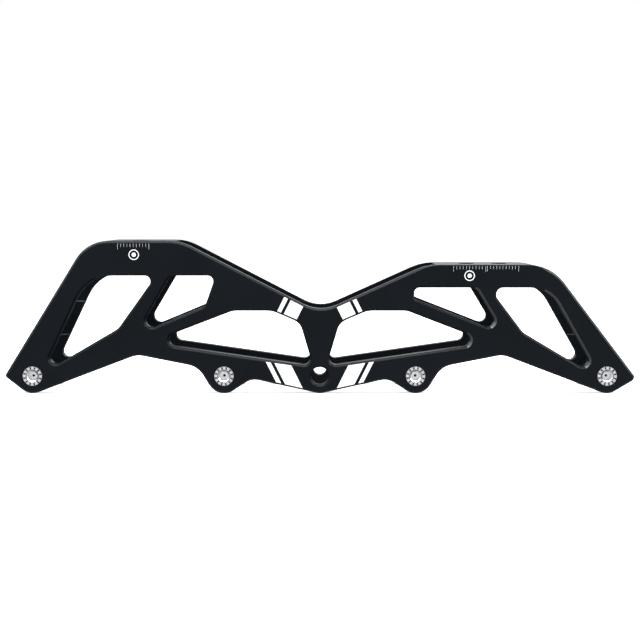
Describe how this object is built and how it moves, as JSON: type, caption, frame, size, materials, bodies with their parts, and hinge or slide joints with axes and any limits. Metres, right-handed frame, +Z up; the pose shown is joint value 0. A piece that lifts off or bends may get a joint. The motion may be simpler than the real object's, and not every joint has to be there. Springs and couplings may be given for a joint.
{
  "type": "inline skate frame",
  "caption": "Channel-shaped inline skate frame with windowed walls, raised heel and toe decks with cross slots, and screw-in wheel axles with flush heads.",
  "frame": {"origin": "midway between the first and the last axle, midway between the walls, on the level of the undersides of the axle bosses", "axes": "+X along the frame towards the toe, +Y across the frame away from the axle heads, +Z up"},
  "size_m": [0.2835, 0.036, 0.0687],
  "materials": {
    "black_anodised": "satin black anodised",
    "axle_steel": "bright turned metal"
  },
  "bodies": {
    "frame": {"frame_body": "black_anodised"},
    "axle_1": {"axle_1": "axle_steel"},
    "axle_2": {"axle_2": "axle_steel"},
    "axle_3": {"axle_3": "axle_steel"},
    "axle_4": {"axle_4": "axle_steel"}
  },
  "joints": [
    {"name": "axle_1_slide", "type": "slide", "parent": "frame", "child": "axle_1", "axis": [0, -1, 0], "range_m": [0, 0.0295]},
    {"name": "axle_2_slide", "type": "slide", "parent": "frame", "child": "axle_2", "axis": [0, -1, 0], "range_m": [0, 0.0295]},
    {"name": "axle_3_slide", "type": "slide", "parent": "frame", "child": "axle_3", "axis": [0, -1, 0], "range_m": [0, 0.0295]},
    {"name": "axle_4_slide", "type": "slide", "parent": "frame", "child": "axle_4", "axis": [0, -1, 0], "range_m": [0, 0.0295]}
  ]
}
